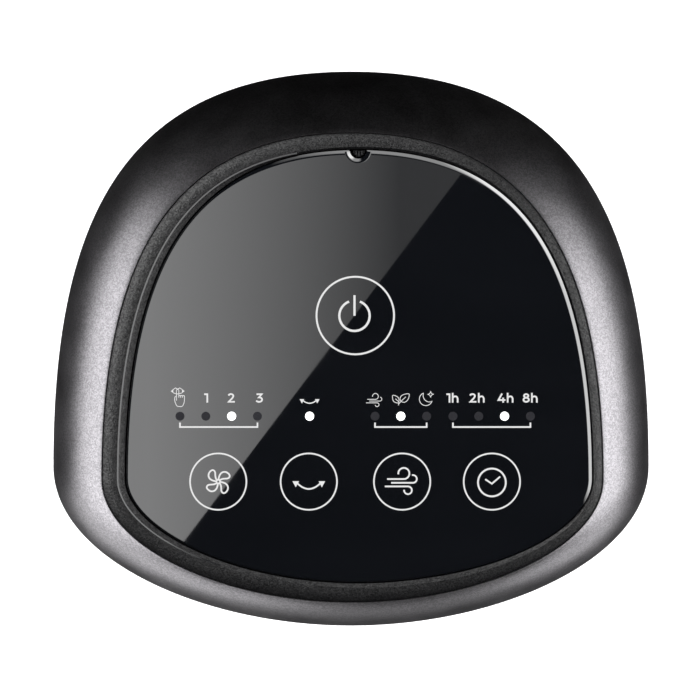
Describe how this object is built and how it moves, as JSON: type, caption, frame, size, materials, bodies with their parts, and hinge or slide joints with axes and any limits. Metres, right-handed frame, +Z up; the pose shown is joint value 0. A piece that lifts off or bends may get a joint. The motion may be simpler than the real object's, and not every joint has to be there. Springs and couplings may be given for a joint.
{
  "type": "tower fan",
  "caption": "Oscillating tower fan: D-shaped dark metallic column with a black glass touch panel on top, front outlet grille, rear filtered intake and a round weighted base.",
  "frame": {"origin": "centre of the bottom of the base, under the swivel axis, on the floor", "axes": "+Z up along the swivel axis, -Y towards the front grille and the user, +X to the right as seen from the front"},
  "size_m": [0.28, 0.28, 0.9497],
  "materials": {
    "satin_shell": "satin dark metallic paint with a fine sparkle",
    "matte_trim": "fine matte texture",
    "gloss_panel": "polished black panel with white print",
    "inner_plastic": "plain dark moulding",
    "rubber": "matt black",
    "steel": "zinc plated or rolled",
    "black_screw": "black oxide",
    "white_bearing_plastic": "natural acetal",
    "circuit_board": "green solder mask",
    "filter_paper": "pleated fibre",
    "brass_spring": "plated spring wire"
  },
  "bodies": {
    "base": {"base_cover": "matte_trim", "base_plate": "inner_plastic", "base_weight": "steel", "rubber_foot_1": "rubber", "rubber_foot_2": "rubber", "rubber_foot_3": "rubber", "rubber_foot_4": "rubber", "base_screw_1": "steel", "base_screw_2": "steel", "base_screw_3": "steel", "base_screw_4": "steel", "cord_gland": "rubber", "gear_sector": "white_bearing_plastic", "slide_ring": "white_bearing_plastic"},
    "column": {"column_foot": "satin_shell", "swivel_spindle": "white_bearing_plastic", "spindle_nut": "steel", "spindle_screw_1": "steel", "spindle_screw_2": "steel", "spindle_screw_3": "steel", "swing_motor": "steel", "swing_motor_screw_1": "steel", "swing_motor_screw_2": "steel", "front_grille": "satin_shell", "rear_housing": "satin_shell", "handle_housing": "satin_shell", "housing_screw_1": "black_screw", "housing_screw_2": "black_screw", "housing_screw_3": "black_screw", "housing_screw_4": "black_screw", "handle_cup": "matte_trim", "handle_grip": "matte_trim", "lower_deck": "inner_plastic", "upper_deck": "inner_plastic", "axle_bush": "rubber", "scroll_guide": "inner_plastic", "tongue_guide": "inner_plastic", "fan_motor": "steel", "motor_grommet_1": "rubber", "motor_grommet_2": "rubber", "motor_grommet_3": "rubber", "power_board": "circuit_board", "top_cover": "satin_shell", "bezel_ring": "matte_trim", "glass_panel": "gloss_panel", "locating_tab": "inner_plastic", "panel_carrier": "inner_plastic", "control_board": "circuit_board", "touch_spring_power": "brass_spring", "touch_spring_speed": "brass_spring", "touch_spring_swing": "brass_spring", "touch_spring_mode": "brass_spring", "touch_spring_timer": "brass_spring"},
    "fan_wheel": {"fan_wheel": "inner_plastic", "motor_shaft": "steel", "wheel_axle": "steel"},
    "intake_cover": {"intake_cover": "satin_shell", "filter_frame": "inner_plastic", "filter_media": "filter_paper"},
    "swing_pinion": {"swing_pinion": "white_bearing_plastic"}
  },
  "joints": [
    {"name": "column_swivel", "type": "hinge", "parent": "base", "child": "column", "pos_m": [0, 0, 0.04], "axis": [0, 0, 1], "range_deg": [-40, 40]},
    {"name": "wheel_spin", "type": "hinge", "parent": "column", "child": "fan_wheel", "pos_m": [0, 0, 0.469], "axis": [0, 0, 1], "continuous": true},
    {"name": "cover_pull", "type": "slide", "parent": "column", "child": "intake_cover", "axis": [0, 1, 0], "range_m": [0, 0.06]},
    {"name": "swing_pinion_turn", "type": "hinge", "parent": "column", "child": "swing_pinion", "pos_m": [0, 0.0375, 0.036], "axis": [0, 0, 1], "range_deg": [-162, 162]}
  ],
  "couplings": [
    {"joint": "swing_pinion_turn", "follows": "column_swivel", "ratio": 4}
  ]
}
